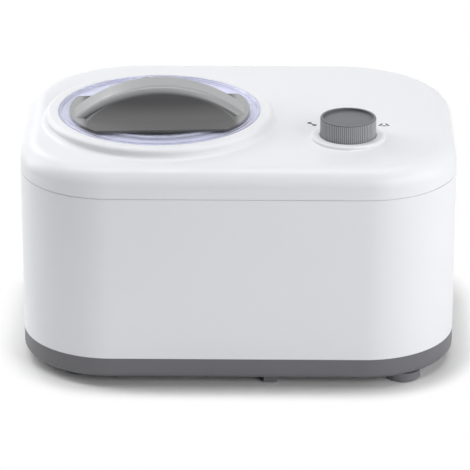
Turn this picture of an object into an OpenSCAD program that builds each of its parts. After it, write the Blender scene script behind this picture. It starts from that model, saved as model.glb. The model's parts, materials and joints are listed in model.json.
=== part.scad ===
// Self-cooling yogurt and frozen dessert maker with a lift-out bowl, in millimetres.
// Origin on the table under the middle of the housing. +X right, +Y back, +Z up.

/* [Housing] */
// Width of the housing
body_w = 370; // [356:1:400]
// Depth of the housing
body_d = 275; // [268:1:310]
// Height of the deck above the underside of the base tray
body_h = 188; // [184:1:205]
// Radius of the two front corners, seen from above
front_corner_r = 78; // [70:1:84]
// Radius of the two rear corners, seen from above
rear_corner_r = 98; // [86:1:102]
// Rounding along the edge of the deck
top_edge_r = 16.7; // [8:0.1:20]
// Wall of the moulded casings
shell_t = 2.8; // [2.2:0.1:3.2]
// Height of the grey base tray
tray_h = 18; // [15:0.5:22]
// Rounding along the lower edge of the base tray
tray_edge_r = 5; // [2:0.5:6]
// Height of the top cover below the deck
cover_h = 25.5; // [23:0.5:30]
// Height of the lip that centres the sleeve on the tray and on the cover
lip_h = 5; // [3:0.5:7]
// Wall of that lip
lip_t = 2; // [1.5:0.1:2.5]

/* [Feet and screws] */
// Height of the rubber feet
foot_h = 8; // [6:0.5:12]
// Radius of a foot
foot_r = 15; // [11:0.5:16]
// Front feet, sideways from the middle
front_foot_x = 141; // [132:1:144]
// Front feet, forward of the middle
front_foot_y = 111.4; // [106:0.2:113]
// Front left foot, sideways from the middle
left_foot_x = 135; // [130:1:144]
// Front left foot, in front of the middle
left_foot_y = 99; // [94:0.5:112]
// Rear feet, sideways from the middle
rear_foot_x = 128; // [118:1:134]
// Rear feet, behind the middle
rear_foot_y = 84; // [78:1:92]
// Radius of the shank of the casing screws
screw_r = 2; // [1.5:0.1:2.2]
// Radius of their heads
screw_head_r = 3.8; // [3:0.1:4.2]
// Height of a screw head
screw_head_h = 2.4; // [1.8:0.1:2.6]
// Wall of a screw tower round its hole
tower_t = 3; // [2:0.1:3.5]

/* [Vents] */
// Height of one vent slot
slot_h = 3.2; // [2:0.1:3.6]
// Pitch of the vent slots
slot_pitch = 7; // [6:0.5:10]
// Slots in the rear wall
rear_slots = 12; // [6:1:12]
// Slots in the right wall
side_slots = 8; // [4:1:10]

/* [Lid] */
// Bowl axis, sideways from the middle
bowl_x = -68.3; // [-72:0.1:-66]
// Bowl axis, behind the middle
bowl_y = -13.7; // [-18:0.1:-8]
// Radius of the clear lid
lid_r = 86.6; // [84:0.1:90]
// Thickness of the lid plate
lid_t = 2.2; // [1.8:0.1:2.6]
// Depth of the recess that the lid drops into
lid_depth = 5; // [4.6:0.1:6.5]
// Height of the lid rim above its plate
lid_step = 0.8; // [0.4:0.1:1.2]
// Height of the collar round the lid above the deck
collar_h = 9; // [7:0.1:11]
// Width of the collar beyond the lid
collar_w = 11; // [9:0.1:13]
// Thickness of the ledge under the lid
ledge_t = 4; // [3.4:0.1:5]

/* [Grip] */
// Radius of the round ends of the grip
grip_r = 77.3; // [74:0.1:79]
// Half the span of the grip's arch
grip_span = 75; // [70:0.5:76]
// Height of the arch above the lid plate
grip_h = 29; // [24:0.5:34]
// Straight front edge, in front of the bowl axis
grip_front = 54; // [50:0.5:56]
// Straight rear edge, behind the bowl axis
grip_rear = 33; // [31:0.5:38]
// Front face of the band on top of the arch, in front of the bowl axis
band_front = 23; // [20:0.5:25]
// Rear face of the band, behind the bowl axis
band_rear = 8.8; // [6:0.2:11]
// Rounding along both edges of the band
band_round = 6; // [3:0.5:6.5]
// Radius of the hollows where they run out onto the foot plate
cove_r = 15; // [8:0.5:18]
// Thickness of the grip's foot plate
grip_plate_t = 2; // [1.5:0.1:2.5]
// Wall of the grip under its arch
grip_wall = 3; // [2:0.1:3.6]
// Turn of the lid and its grip
grip_turn = 3.5; // [0:0.5:6]
// Grip screws, sideways from the bowl axis
grip_screw_x = 52; // [46:1:54]
// Radius of a grip screw
small_screw_r = 1.5; // [1.2:0.1:1.8]

/* [Bowl and well] */
// Inner radius of the lift-out bowl
bowl_r = 58.5; // [55:0.1:60]
// Sheet thickness of the bowl
bowl_t = 1.5; // [1:0.1:1.8]
// Width of the bowl's rim beyond its wall
bowl_rim_w = 6; // [4.5:0.1:6.5]
// Rounding of the bowl's lower edge
bowl_edge_r = 10; // [6:0.5:14]
// Gap between the bowl and the cooled well
well_gap = 1; // [0.6:0.1:1.4]
// Sheet thickness of the well
well_t = 1.5; // [1.2:0.1:2]
// Radius of the well's flange
well_flange_r = 84; // [80:0.5:85]
// Radius at which the well's flange is screwed to the cover
well_screw_r = 78; // [75:0.5:79]
// How far the bowl's centre tube stops below its rim
bowl_tube_drop = 22; // [21:1:32]
// Insulation round the cooling coil
foam_t = 16; // [12:0.5:18]
// Insulation under the well
foam_base_t = 11; // [8:0.5:12]

/* [Drive] */
// Radius of the paddle shaft
shaft_r = 4; // [3.4:0.1:4.4]
// Height of the hexagon that turns the paddle
hex_h = 9; // [7:0.5:10]
// Teeth of the output gear
output_teeth = 60; // [54:1:64]
// Teeth of the small half of the idler
idler_small_teeth = 14; // [14:1:18]
// Teeth of the large half of the idler
idler_large_teeth = 48; // [42:1:50]
// Teeth of the motor pinion
pinion_teeth = 14; // [14:1:16]
// Tooth size of the output stage
output_module = 1.25; // [1.1:0.05:1.3]
// Tooth size of the motor stage
motor_module = 1; // [0.9:0.05:1.1]
// Width of the output gear
output_gear_w = 8; // [6:0.5:9]
// Width of the motor stage
motor_gear_w = 7; // [5:0.5:8]
// Direction from the paddle shaft to the idler
idler_turn = 90; // [80:1:100]
// Direction from the idler to the motor
motor_turn = 30; // [20:1:40]
// Radius of the churn motor
motor_r = 24; // [20:0.5:26]
// Height of the churn motor
motor_h = 30; // [26:0.5:34]
// Air between the churn motor and the floor of the tray
motor_gap = 7; // [5:0.5:10]
// Wall of the gearbox
gearbox_t = 2.5; // [2:0.1:3]

/* [Cooling] */
// Radius of the evaporator tube
coil_tube_r = 3.2; // [2.6:0.1:3.6]
// Turns of the evaporator
coil_turns = 6; // [4:1:7]
// Height of the heating band under the coil
heater_h = 16; // [10:1:18]
// Radius of the compressor can
comp_r = 54; // [48:0.5:55]
// Height of the compressor can
comp_h = 112; // [96:1:116]
// Space between the compressor and the right wall
comp_side = 23; // [21:0.5:26]
// Space between the compressor and the front wall
comp_front = 31; // [28:0.5:33]
// Side of the square fan
fan_w = 92; // [80:1:92]
// Depth of the fan
fan_d = 25; // [20:0.5:26]
// Fan axis, sideways from the middle
fan_x = 34; // [32:0.5:36]
// Depth of the condenser
condenser_d = 26; // [22:0.5:28]
// Fins of the condenser
condenser_fins = 20; // [12:1:24]

/* [Knob] */
// Knob axis, sideways from the middle
knob_x = 92.8; // [90:0.1:96]
// Knob axis, in front of the middle
knob_y = 57.4; // [50:0.1:62]
// Radius of the knob
knob_r = 23.7; // [22:0.1:26]
// Height of the knob's top above the deck
knob_top = 18.9; // [16:0.1:21]
// Flutes round the knob
knob_flutes = 84; // [60:1:96]
// Depth of a flute
flute_depth = 0.5; // [0.3:0.1:0.8]
// How far the disc in the knob's top lies below its rim
cap_sink = 2; // [0.5:0.1:2.5]
// Radius of the raised ring round the knob
bezel_r = 31; // [29:0.1:33]
// Height of that ring
bezel_h = 3.2; // [2.5:0.1:4.5]
// Radius of the switch spindle
spindle_r = 3; // [2.5:0.1:3.2]

/* [Fits] */
// Gap between parts that move past each other
part_gap = 0.3; // [0.3:0.05:0.4]
// Radial gap of a running shaft
run_gap = 0.05; // [0.03:0.01:0.09]
// Radial gap between parts that stay put
seat_gap = 0.05; // [0.02:0.01:0.08]
// Gap round the lid in its collar
lid_gap = 0.5; // [0.4:0.05:0.7]
// Gap between the paddle and the bowl
paddle_gap = 1.5; // [1:0.1:2.5]
// Backlash on each flank of a gear tooth
backlash = 0.12; // [0.08:0.01:0.16]

/* [Hidden] */
$fn = 96;
over = 1;                       // how far a cut runs past a face

// Levels
z_tray = foot_h;
z_floor = z_tray + shell_t;
gear_gap = 1;                               // air over and under each gear
foam_gap = 2;                               // air between the gearbox and the foam
z_line = z_tray + tray_h;
z_deck = z_tray + body_h;
z_split = z_deck - cover_h;
z_under_deck = z_deck - shell_t;
z_collar = z_deck + collar_h;
z_ledge = z_collar - lid_depth;
z_flange = z_ledge - ledge_t;               // top of the well's flange
z_bowl_rim = z_flange + part_gap + bowl_t;

// Levels of the drive, stacked up from the tray, and of the well and bowl that stand over it
z_motor = z_floor + motor_gap;
z_gear_plate = z_motor + motor_h;
z_gear_floor = z_gear_plate + gearbox_t;
z_motor_gear = z_gear_floor + gear_gap;
z_output_gear = z_motor_gear + motor_gear_w + gear_gap;
z_gearbox_in = z_output_gear + output_gear_w + gear_gap;
z_gearbox = z_gearbox_in + gearbox_t;
z_foam = z_gearbox + foam_gap;
z_well = z_foam + foam_base_t + well_t;     // floor of the well
z_bowl = z_well + well_gap + bowl_t;        // floor of the bowl
z_lid = z_collar - lid_step;                // top of the lid plate
z_lid_under = z_lid - lid_t;

// Radii round the bowl axis
collar_r = lid_r + collar_w;
recess_r = lid_r + lid_gap;
throat_r = bowl_r + bowl_t + bowl_rim_w + 2;
well_r = bowl_r + bowl_t + well_gap;
coil_gap = 0.3;
coil_steps = 20;                            // straight steps in each turn, whose middles clear the well
coil_r = (well_r + well_t + coil_gap + coil_tube_r) / cos(180 / coil_steps);
foam_in_r = coil_r + coil_tube_r + coil_gap;
foam_r = foam_in_r + foam_t;
bush_t = 1.5;
well_tube_in = shaft_r + run_gap + bush_t + seat_gap;
well_tube_out = well_tube_in + 1.6;
bowl_tube_in = well_tube_out + 1;
bowl_tube_out = bowl_tube_in + bowl_t;
hub_in = bowl_tube_out + 1;
hub_out = hub_in + 2;
z_bowl_tube = z_bowl_rim - bowl_tube_drop;
z_well_tube = z_bowl_tube - 8;

// Outline of the housing: the centre, radius and first direction of each corner
side_x = body_w / 2;
side_y = body_d / 2;
corners = [
    [side_x - front_corner_r, front_corner_r - side_y, front_corner_r, -90],
    [side_x - rear_corner_r, side_y - rear_corner_r, rear_corner_r, 0],
    [rear_corner_r - side_x, side_y - rear_corner_r, rear_corner_r, 90],
    [front_corner_r - side_x, front_corner_r - side_y, front_corner_r, 180]];
front_centre_y = front_corner_r - side_y;
rear_centre_y = side_y - rear_corner_r;
wide_corner_r = max(front_corner_r, rear_corner_r);

// Screw towers stand just inside the wall, at a chosen direction from each corner's centre
front_tower_turn = 0;
rear_tower_turn = 38;
tower_r = screw_r + 0.3 + tower_t;
tower_reach = shell_t + 4.5 + tower_r;      // from the outside of the wall to the screw
function tower_at(c, turn) =
    [c[0] + (c[2] - tower_reach) * cos(turn), c[1] + (c[2] - tower_reach) * sin(turn)];
tower_spots = [
    [tower_at(corners[0], front_tower_turn), front_tower_turn],
    [tower_at(corners[1], rear_tower_turn), rear_tower_turn],
    [tower_at(corners[2], 180 - rear_tower_turn), 180 - rear_tower_turn],
    [tower_at(corners[3], 180 - front_tower_turn), 180 - front_tower_turn]];
foot_spots = [[front_foot_x, -front_foot_y], [-left_foot_x, -left_foot_y],
    [rear_foot_x, rear_foot_y], [-rear_foot_x, rear_foot_y]];
foot_boss_r = 6;
foot_boss_h = 8;

// Gear train
output_pitch_r = output_module * output_teeth / 2;
idler_small_pitch_r = output_module * idler_small_teeth / 2;
idler_large_pitch_r = motor_module * idler_large_teeth / 2;
pinion_pitch_r = motor_module * pinion_teeth / 2;
idler_reach = output_pitch_r + idler_small_pitch_r;
motor_reach = idler_large_pitch_r + pinion_pitch_r;
idler_at = [idler_reach * cos(idler_turn), idler_reach * sin(idler_turn)];
motor_at = idler_at + motor_reach * [cos(motor_turn), sin(motor_turn)];
gear_room = 2;                              // air between the gears and the gearbox wall
addendum = 0.8;
dedendum = 1.05;
output_room_r = output_pitch_r + output_module * addendum + gear_room;
idler_room_r = idler_large_pitch_r + motor_module * addendum + gear_room;
pinion_room_r = pinion_pitch_r + motor_module * addendum + gear_room;
motor_shaft_r = 1.6;
idler_pin_r = 2.5;
leg_r = screw_r + 3;
leg_reach = output_room_r + gearbox_t + leg_r - 1;
leg_turns = [200, 340, 135, 20];
leg_spots = [for (t = leg_turns) leg_reach * [cos(t), sin(t)]];
leg_screw_depth = 10;
motor_wall = 3;
motor_screw_in = 3.5;                       // from the motor's edge to its screws
small_head_r = 2.8;

// Compressor
comp_x = side_x - shell_t - comp_side - comp_r;
comp_y = -(side_y - shell_t - comp_front - comp_r);
grommet_h = 9;
grommet_r = 8;
comp_plate_t = 2.5;
z_comp_plate = z_floor + grommet_h;
z_comp = z_comp_plate + comp_plate_t;
z_comp_top = z_comp + comp_h;
comp_bolt_x = 50;
comp_bolt_y = 30;
comp_bolts = [for (x = [-1, 1], y = [-1, 1]) [x * comp_bolt_x, y * comp_bolt_y]];
port_out = 8;
port_spread = 18;
z_suction_port = z_comp + comp_h * 0.68;
z_discharge_port = z_comp + comp_h * 0.36;
port_y = comp_y + sqrt(comp_r * comp_r - port_spread * port_spread) + port_out;
line_r = 3;
capillary_r = 1.4;

// Fan and condenser
fan_post = 6;
fan_back_y = side_y - shell_t - fan_post;
fan_front_y = fan_back_y - fan_d;
fan_post_r = 4;
fan_edge = 5;                               // from the fan's edge to its screws
z_fan_low = z_line + lip_h + 1;
fan_z = z_fan_low + fan_w / 2;
fan_hole = fan_w / 2 - fan_edge;
fan_bore_r = fan_w / 2 - 2.5;
fan_blade_r = fan_bore_r - 1.5;
fan_hub_r = 17;
fan_pin_r = 1.5;
fan_blades = 7;
fan_stator_r = fan_hub_r - 3;
condenser_back_y = fan_front_y - 0.5;
condenser_y = condenser_back_y - condenser_d / 2;
condenser_top = fan_z + fan_w / 2;
condenser_plate_t = 1.2;
condenser_tube_r = 3.5;
condenser_rows = 4;
condenser_row_pitch = fan_w / (condenser_rows + 0.5);
z_condenser_low = z_fan_low + condenser_row_pitch * 0.75;
condenser_right = fan_x + fan_w / 2;
condenser_left = fan_x - fan_w / 2;
condenser_port = 8;
z_condenser_high = z_condenser_low + (condenser_rows - 1) * condenser_row_pitch;
drier_x = 36;
drier_y = 36;
drier_r = 8;
drier_low = z_condenser_low + 20;
drier_high = drier_low + 62;

// Coil tails leave the foam beside each other, behind and to the right of the well
z_coil_low = z_well + heater_h + 3 + coil_tube_r;
z_coil_high = z_flange - well_t - 8 - coil_tube_r;
coil_tail = sqrt(pow(foam_r, 2) - pow(coil_r, 2)) + 4;

// Knob and switch
z_bezel = z_deck + bezel_h;
knob_sink = 1;                              // the skirt reaches into the ring
z_knob = z_bezel - knob_sink;
z_knob_top = z_deck + knob_top;
knob_wall = 3.2;
cap_t = 1.2;
knob_hub_r = spindle_r + 3;
bush_r = spindle_r + 2;
nut_h = 2.4;
z_bush = z_deck + nut_h + 0.8;
switch_w = 28;
switch_h = 18;

// Control board under the rear of the deck
board_x = 64;
board_y = 42;
board_w = 84;
board_l = 60;
board_t = 1.6;
board_post = 11;
z_board = z_under_deck - board_post - board_t;
board_hole_x = board_w / 2 - 5;
board_hole_y = board_l / 2 - 5;
board_holes = [for (x = [-1, 1], y = [-1, 1]) [board_x + x * board_hole_x, board_y + y * board_hole_y]];

// Cord gland in the rear wall
gland_x = -60;
gland_z = z_line + 19;
gland_flange_r = 9;
gland_neck_r = 6.5;
gland_bore_r = 3.6;
gland_sink = 1.6;
gland_boss_t = 4;

// Involute gear tooth outlines
pressure = 20;
function inv(a) = tan(a) * 180 / PI - a;
function half_tooth(r, m, teeth) = 90 / teeth - backlash / (m * teeth / 2) * 180 / PI
    + inv(pressure) - inv(acos(min(1, m * teeth / 2 * cos(pressure) / r)));
function polar(r, a) = [r * cos(a), r * sin(a)];
function tooth(m, teeth, a) = let(
        pitch = m * teeth / 2, root = pitch - dedendum * m, tip = pitch + addendum * m,
        start = max(root, pitch * cos(pressure)),
        flank = [for (i = [0:3]) start + (tip - start) * i / 3])
    concat([polar(root, a - half_tooth(start, m, teeth))],
        [for (r = flank) polar(r, a - half_tooth(r, m, teeth))],
        [for (i = [3:-1:0]) polar(flank[i], a + half_tooth(flank[i], m, teeth))],
        [polar(root, a + half_tooth(start, m, teeth))]);
module gear(m, teeth, width, turn) linear_extrude(width)
    polygon([for (i = [0:teeth - 1], p = tooth(m, teeth, turn + i * 360 / teeth)) p]);

// Round tubes swept along a path of points
pipe_sides = 10;
aim = [0.31, 0.52, 0.795];
function unit(v) = v / norm(v);
function heading(p, i) = unit(unit(p[min(i + 1, len(p) - 1)] - p[min(i, len(p) - 2)])
    + unit(p[max(i, 1)] - p[max(i - 1, 0)]));
function ring(c, dir, r) = let(u = unit(cross(dir, aim)), v = cross(dir, u))
    [for (k = [0:pipe_sides - 1]) c + r * (cos(k * 360 / pipe_sides) * u + sin(k * 360 / pipe_sides) * v)];
function bend(a, b, c, t) = (1 - t) * (1 - t) * a + 2 * t * (1 - t) * b + t * t * c;
// rounds the corners of a path: each corner becomes a curve between points cut off near it
function rounded(p, cut) = concat([p[0]],
    [for (i = [1:len(p) - 2]) let(
        a = p[i] + unit(p[i - 1] - p[i]) * min(cut, norm(p[i - 1] - p[i]) * 0.45),
        c = p[i] + unit(p[i + 1] - p[i]) * min(cut, norm(p[i + 1] - p[i]) * 0.45))
        for (t = [0:0.25:1]) bend(a, p[i], c, t)],
    [p[len(p) - 1]]);
module pipe(path, r) {
    n = len(path);
    s = pipe_sides;
    polyhedron(
        points = [for (i = [0:n - 1], q = ring(path[i], heading(path, i), r)) q],
        faces = concat([[for (k = [0:s - 1]) k]],
            [for (i = [0:n - 2], k = [0:s - 1])
                [i * s + k, (i + 1) * s + k, (i + 1) * s + (k + 1) % s, i * s + (k + 1) % s]],
            [[for (k = [s - 1:-1:0]) (n - 1) * s + k]]));
}

// Half section of the rounded block, out from a corner's centre
module slab_section(reach, z0, z1, top_r, low_r) difference() {
    translate([0, z0]) square([reach, z1 - z0]);
    if (top_r > 0) difference() {
        translate([reach - top_r, z1 - top_r]) square(top_r + over);
        translate([reach - top_r, z1 - top_r]) circle(top_r);
    }
    if (low_r > 0) difference() {
        translate([reach - low_r, z0 - over]) square([low_r + over, low_r + over]);
        translate([reach - low_r, z0 + low_r]) circle(low_r);
    }
}
module side_slab(at, turn, run, reach, z0, z1, top_r, low_r)
    translate([at[0], at[1], 0]) rotate(turn) rotate([90, 0, 0])
        linear_extrude(run) slab_section(reach, z0, z1, top_r, low_r);
// The housing's outline as a block with rounded upper or lower edges
module rounded_block(inset, z0, z1, top_r, low_r) {
    for (c = corners) translate([c[0], c[1], 0]) rotate(c[3])
        rotate_extrude(angle = 90) slab_section(c[2] - inset, z0, z1, top_r, low_r);
    side_run = rear_centre_y - front_centre_y;
    side_slab([side_x - wide_corner_r, rear_centre_y], 0, side_run, wide_corner_r - inset,
        z0, z1, top_r, low_r);
    side_slab([wide_corner_r - side_x, front_centre_y], 180, side_run, wide_corner_r - inset,
        z0, z1, top_r, low_r);
    side_slab([corners[2][0], rear_centre_y], 90, corners[1][0] - corners[2][0],
        rear_corner_r - inset, z0, z1, top_r, low_r);
    side_slab([corners[0][0], front_centre_y], 270, corners[0][0] - corners[3][0],
        front_corner_r - inset, z0, z1, top_r, low_r);
    translate([0, 0, z0]) linear_extrude(z1 - z0) polygon([for (c = corners) [c[0], c[1]]]);
}
// The same outline with plain edges
module outline(inset) {
    for (c = corners) translate([c[0], c[1]]) circle(c[2] - inset);
    polygon([[corners[3][0], inset - side_y], [corners[0][0], inset - side_y],
        [side_x - inset, front_centre_y], [side_x - inset, rear_centre_y],
        [corners[1][0], side_y - inset], [corners[2][0], side_y - inset],
        [inset - side_x, rear_centre_y], [inset - side_x, front_centre_y]]);
}
module wall_ring(outer, inner, z0, z1) translate([0, 0, z0]) linear_extrude(z1 - z0) difference() {
    outline(outer);
    outline(inner);
}
module disc(r, z0, z1) translate([0, 0, z0]) cylinder(r = r, h = z1 - z0);
module tube(r_out, r_in, z0, z1) difference() {
    disc(r_out, z0, z1);
    disc(r_in, z0 - over, z1 + over);
}
module spots(list) for (p = list) translate([p[0], p[1], 0]) children();
module bowl_axis() translate([bowl_x, bowl_y, 0]) children();
module screw(shank_r, head_r, head_h, z_head, z_tip) {
    disc(head_r, z_head, z_head + head_h);
    disc(shank_r, z_head + head_h, z_tip);
}

// Base tray: floor, low wall, and a lip that enters the sleeve
tray_slots = 7;
tray_slot_l = 46;
head_sink = screw_head_h + 0.6;
boss_h = head_sink + 2.5;
lug_x = 22.5;
lug_len = 11;
lug_t = 4;
module base_tray() color("dimgray") difference() {
    union() {
        difference() {
            rounded_block(0, z_tray, z_line, 0, tray_edge_r);
            rounded_block(shell_t, z_floor, z_line + over, 0, max(0.6, tray_edge_r - shell_t));
        }
        wall_ring(shell_t - 0.4, shell_t + 0.2 + lip_t, z_tray + tray_edge_r, z_line);
        wall_ring(shell_t + 0.2, shell_t + 0.2 + lip_t, z_line - over, z_line + lip_h);
        for (t = tower_spots) translate([t[0][0], t[0][1], 0])
            disc(tower_r + 2, z_floor - over, z_tray + boss_h);
        spots(foot_spots) disc(foot_boss_r, z_floor - over, z_tray + foot_boss_h);
        bowl_axis() spots(leg_spots) disc(leg_r + 2, z_floor - over, z_tray + boss_h);
        // moulded stop lug under the front edge
        translate([lug_x, lug_t - side_y + tray_edge_r, z_tray - foot_h + 1])
            cube([lug_len, lug_t, foot_h]);
    }
    for (t = tower_spots) translate([t[0][0], t[0][1], 0]) {
        disc(screw_r + 0.3, z_tray - over, z_line + lip_h);
        disc(screw_head_r + 0.5, z_tray - over, z_tray + head_sink);
    }
    bowl_axis() spots(leg_spots) {
        disc(screw_r + 0.3, z_tray - over, z_line);
        disc(screw_head_r + 0.5, z_tray - over, z_tray + head_sink);
    }
    spots(foot_spots) disc(small_screw_r + seat_gap, z_tray - over, z_tray + foot_boss_h + over);
    for (p = comp_bolts) translate([comp_x + p[0], comp_y + p[1], 0])
        disc(screw_r + seat_gap, z_tray - over, z_floor + over);
    for (i = [0:tray_slots - 1]) translate([comp_x - tray_slot_l / 2,
        comp_y + (i - (tray_slots - 1) / 2) * slot_pitch - slot_h / 2, z_tray - over])
        cube([tray_slot_l, slot_h, shell_t + 2 * over]);
}

// Sleeve: the white wall round the machine, with screw towers, vents and fan posts
rear_slot_l = 2 * fan_hole - 12;
side_slot_l = 0.68 * (rear_centre_y - front_centre_y);
side_slot_y = (rear_centre_y + front_centre_y) / 2;
module body_shell() color("whitesmoke") difference() {
    union() {
        wall_ring(0, shell_t, z_line, z_split);
        for (t = tower_spots) translate([t[0][0], t[0][1], 0]) {
            disc(tower_r, z_tray + boss_h, z_split - lip_h - over);
            rotate(t[1]) translate([0, -1.2, z_line + lip_h + over])
                cube([tower_reach - shell_t / 2, 2.4, z_split - z_line - 2 * lip_h - 2 * over]);
        }
        for (x = [-1, 1], z = [-1, 1]) translate([fan_x + x * fan_hole, 0, fan_z + z * fan_hole])
            rotate([-90, 0, 0]) disc(fan_post_r, fan_back_y, side_y - shell_t / 2);
        translate([gland_x, 0, gland_z]) rotate([-90, 0, 0])
            disc(gland_flange_r + 2, side_y - shell_t - gland_boss_t, side_y - shell_t / 2);
    }
    for (t = tower_spots) translate([t[0][0], t[0][1], 0]) disc(screw_r + 0.3, z_tray, z_split + over);
    for (i = [0:rear_slots - 1]) translate([fan_x - rear_slot_l / 2, side_y - shell_t - over,
        fan_z + (i - (rear_slots - 1) / 2) * slot_pitch - slot_h / 2])
        cube([rear_slot_l, shell_t + 2 * over, slot_h]);
    for (i = [0:side_slots - 1]) translate([side_x - shell_t - over, side_slot_y - side_slot_l / 2,
        z_line + 16 + i * slot_pitch])
        cube([shell_t + 2 * over, side_slot_l, slot_h]);
    translate([gland_x, 0, gland_z]) rotate([-90, 0, 0]) {
        disc(gland_neck_r, side_y - shell_t - gland_boss_t - over, side_y + over);
        disc(gland_flange_r + seat_gap, side_y - gland_sink, side_y + over);
    }
    for (x = [-1, 1], z = [-1, 1]) translate([fan_x + x * fan_hole, 0, fan_z + z * fan_hole])
        rotate([-90, 0, 0]) disc(small_screw_r + seat_gap, fan_back_y - over, side_y - shell_t);
}

// Top cover: deck, collar and ledge for the lid, ring round the knob
collar_wall = shell_t;
collar_round = 0.45 * collar_h;
foot_round = 0.55 * collar_h;
bezel_round = 0.6 * bezel_h;
bezel_foot = bezel_h - bezel_round;
parting_depth = 0.8;                        // shadow line between the cover and the sleeve
parting_h = 0.6;
module collar_section() difference() {
    union() {
        translate([throat_r, z_flange]) square([collar_r - throat_r, z_collar - z_flange]);
        translate([collar_r - collar_wall - over, z_under_deck])
            square([collar_wall + over, z_collar - z_under_deck]);
        difference() {
            translate([collar_r - over, z_under_deck])
                square([foot_round + over, z_deck - z_under_deck + foot_round]);
            translate([collar_r + foot_round, z_deck + foot_round]) circle(foot_round);
        }
    }
    translate([recess_r - over - lid_r, z_ledge]) square([lid_r + over, lid_depth + over]);
    translate([recess_r + collar_wall, z_flange - over])
        square([collar_w - lid_gap - 2 * collar_wall, z_collar - collar_wall - z_flange + over]);
    difference() {
        translate([collar_r - collar_round, z_collar - collar_round]) square(collar_round + over);
        translate([collar_r - collar_round, z_collar - collar_round]) circle(collar_round);
    }
}
module bezel_section() {
    translate([0, z_under_deck]) square([bezel_r, z_bezel - bezel_round - z_under_deck]);
    translate([0, z_deck]) square([bezel_r - bezel_round, bezel_h]);
    translate([bezel_r - bezel_round, z_bezel - bezel_round]) circle(bezel_round);
    difference() {
        translate([bezel_r - over, z_under_deck])
            square([bezel_foot + over, z_deck - z_under_deck + bezel_foot]);
        translate([bezel_r + bezel_foot, z_deck + bezel_foot]) circle(bezel_foot);
    }
}
cover_boss_h = 14;
// the bosses run up into the rounded edge of the deck
cover_boss_in = max(0, top_edge_r - (tower_reach - tower_r));
cover_boss_top = z_deck - top_edge_r + sqrt(top_edge_r * top_edge_r - cover_boss_in * cover_boss_in) - 1;
module top_cover() color("white") difference() {
    union() {
        difference() {
            rounded_block(0, z_split, z_deck, top_edge_r, 0);
            rounded_block(shell_t, z_split - over, z_under_deck, max(1, top_edge_r - shell_t), 0);
            bowl_axis() disc(collar_r - collar_wall, z_split, z_deck + over);
        }
        bowl_axis() rotate_extrude() collar_section();
        wall_ring(shell_t + 0.2, shell_t + 0.2 + lip_t, z_split - lip_h, z_split + over);
        wall_ring(shell_t - 0.4, shell_t + 0.2 + lip_t, z_split, z_split + 3);
        for (t = tower_spots) translate([t[0][0], t[0][1], 0])
            disc(tower_r, z_split - lip_h, cover_boss_top);
        spots(board_holes) disc(4, z_board + board_t, z_under_deck + over);
        translate([knob_x, -knob_y, 0]) rotate_extrude() bezel_section();
    }
    translate([knob_x, -knob_y, 0]) {
        disc(bush_r + seat_gap, z_under_deck - over, z_bezel + over);
        disc(knob_r + 0.6, z_deck, z_bezel + over);
    }
    wall_ring(-1, parting_depth, z_split - over, z_split + parting_h);
    for (t = tower_spots) translate([t[0][0], t[0][1], 0])
        disc(screw_r + seat_gap, z_split - lip_h - over, z_split + cover_boss_h - 2);
    spots(board_holes) disc(small_screw_r + seat_gap, z_board, z_under_deck);
    bowl_axis() for (a = [30:60:330]) rotate(a) translate([well_screw_r, 0, 0])
        disc(small_screw_r + seat_gap, z_flange - over, z_flange + ledge_t - 1);
}

module rubber_feet() color("#2a2a2c") spots(foot_spots) difference() {
    union() {
        disc(foot_r - 0.8, 0, z_tray);
        disc(foot_r, 1, z_tray);
    }
    disc(small_screw_r + 0.3, -over, z_tray + over);
    disc(screw_head_r + 0.5, -over, 4);
}
module foot_screws() color("silver") spots(foot_spots)
    screw(small_screw_r, screw_head_r - 0.4, 1.8, 4 - 1.8, z_tray + 6);
module tie_screws() color("silver") for (t = tower_spots) translate([t[0][0], t[0][1], 0])
    screw(screw_r, screw_head_r, screw_head_h, z_tray + head_sink - screw_head_h,
        z_split + cover_boss_h - 4);

// Lid: a clear plate with a stepped rim; its skirt stands on the ledge
skirt_t = 2.4;
guide_in = 6;
guide_out = 8.4;
guide_h = 9;
seal_in = bowl_r + 3;
seal_out = bowl_r + bowl_t + bowl_rim_w - 0.6;
module lid_section() {
    translate([0, z_lid_under]) square([lid_r - 1, lid_t]);
    translate([lid_r - skirt_t, z_ledge + part_gap]) square([skirt_t, z_collar - z_ledge - part_gap - 0.5]);
    translate([lid_r - skirt_t, z_lid_under]) square([skirt_t - 0.5, z_collar - z_lid_under]);
    translate([grip_r + 2.6, z_lid_under]) square([2, z_lid + 0.4 - z_lid_under]);
    translate([seal_in - 2, z_bowl_rim + 1]) square([2, z_lid_under - z_bowl_rim - 0.5]);
    translate([guide_in, z_lid_under - guide_h]) square([guide_out - guide_in, guide_h + 0.5]);
}
module grip_frame() bowl_axis() rotate(grip_turn) children();
grip_screw_spots = [for (x = [-1, 1]) [x * grip_screw_x, (band_rear - band_front) / 2]];
module clear_lid() color([0.85, 0.87, 0.95, 0.5]) grip_frame() difference() {
    rotate_extrude() lid_section();
    spots(grip_screw_spots) disc(small_screw_r + 0.2, z_lid_under - over, z_lid + over);
}
module lid_seal() color("gainsboro") bowl_axis()
    tube(seal_out, seal_in + seat_gap, z_bowl_rim + part_gap, z_lid_under);

// Grip: an arch over the lid with a hollow for the fingers in front and behind
arch_r = (grip_span * grip_span + grip_h * grip_h) / (2 * grip_h);
z_arch_axis = z_lid + grip_h - arch_r;
z_plate = z_lid + grip_plate_t;
module arch(r, y0, y1) translate([0, 0, z_arch_axis]) rotate([-90, 0, 0]) disc(r, y0, y1);
// Rounds the edge of the band over a wall at y that faces way (-1 forwards, 1 backwards)
module band_edge(y, way) translate([0, 0, z_arch_axis]) rotate([-90, 0, 0])
    rotate_extrude() difference() {
        translate([arch_r - band_round, way > 0 ? y - band_round : y - cove_r])
            square([band_round + over, band_round + cove_r]);
        translate([arch_r - band_round, y - way * band_round]) circle(band_round);
    }
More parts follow.
